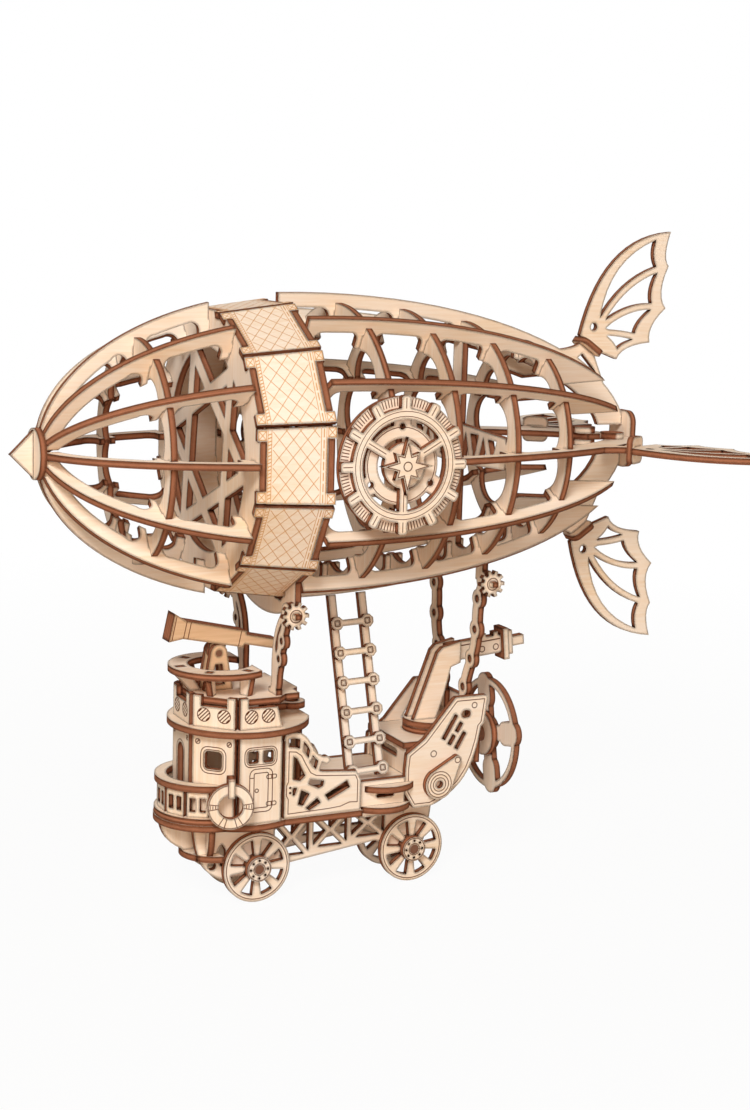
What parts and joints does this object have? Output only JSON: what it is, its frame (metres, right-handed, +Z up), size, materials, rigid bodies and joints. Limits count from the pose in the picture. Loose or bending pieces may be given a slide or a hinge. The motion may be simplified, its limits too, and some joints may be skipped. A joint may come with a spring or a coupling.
{
  "type": "airship model",
  "caption": "Laser-cut plywood airship: ribbed cigar hull with quilted band and bat-wing fins, on struts above a wheeled gondola with tower, telescope, gun and propeller.",
  "frame": {"origin": "middle of the overall box on the floor under the wheels", "axes": "+X from the nose to the tail, +Y to starboard, +Z up"},
  "size_m": [0.2208, 0.135, 0.2072],
  "materials": {
    "ply": "bare sanded birch ply",
    "ply_light": "bare sanded birch ply",
    "ply_shade": "bare birch ply, layered",
    "dowel": "browned wood dowel"
  },
  "bodies": {
    "airframe": {"nose_plate": "ply_light", "end_discs": "ply", "front_stringers": "ply_light", "front_rib": "ply", "front_bulkhead": "ply", "band_panels": "ply_light", "rear_bulkhead": "ply", "rear_stringers": "ply_light", "fin_stringers": "ply_light", "rib_1": "ply", "rib_2": "ply", "rib_3": "ply", "rib_4": "ply", "vertical_fins": "ply_light", "horizontal_fins": "ply_light", "fin_fittings": "ply", "dials": "ply", "helms": "ply_light", "helm_bosses": "ply", "front_struts": "ply", "rear_struts": "ply", "strut_gears": "ply", "ladder_rails": "ply", "ladder_rungs": "ply_light", "keel_plates": "ply", "base_deck": "ply", "bow_plates": "ply", "bow_brackets": "ply_light", "balcony_rail": "ply", "balcony_panels": "ply_light", "tower_walls": "ply_light", "tower_ring": "ply", "battlements": "ply_light", "top_deck": "ply", "lookout": "ply", "lookout_brackets": "ply", "life_buoy": "ply_light", "buoy_hook": "ply", "telescope_stand": "ply", "pivot_pins": "dowel", "mooring_eye": "ply", "side_panels": "ply_light", "bulwarks": "ply_light", "steps": "ply", "mid_deck": "ply", "stern_panels": "ply_light", "crank_covers": "ply_light", "stern_frames": "ply", "gun_platform": "ply"},
    "front_wheelset": {"front_wheels": "ply_light", "front_axle": "dowel"},
    "rear_wheelset": {"rear_wheels": "ply_light", "rear_axle": "dowel"},
    "screw": {"propeller": "ply_shade", "propeller_shaft": "dowel"},
    "spyglass": {"telescope": "ply_shade"},
    "gun": {"turntable": "ply", "gun_cheeks": "ply_light", "gun_barrel": "ply_light"}
  },
  "joints": [
    {"name": "front_wheels_roll", "type": "hinge", "parent": "airframe", "child": "front_wheelset", "pos_m": [-0.0357, 0, 0.011], "axis": [0, 1, 0], "continuous": true},
    {"name": "rear_wheels_roll", "type": "hinge", "parent": "airframe", "child": "rear_wheelset", "pos_m": [0.0177, 0, 0.011], "axis": [0, 1, 0], "continuous": true},
    {"name": "propeller_spin", "type": "hinge", "parent": "airframe", "child": "screw", "pos_m": [0.05, 0, 0.0436], "axis": [1, 0, 0], "continuous": true},
    {"name": "telescope_tilt", "type": "hinge", "parent": "airframe", "child": "spyglass", "pos_m": [-0.0468, 0, 0.078], "axis": [0, 1, 0], "range_deg": [-14, 10]},
    {"name": "gun_swivel", "type": "hinge", "parent": "airframe", "child": "gun", "pos_m": [0.0275, 0, 0.05], "axis": [0, 0, 1], "range_deg": [-15, 15]}
  ]
}
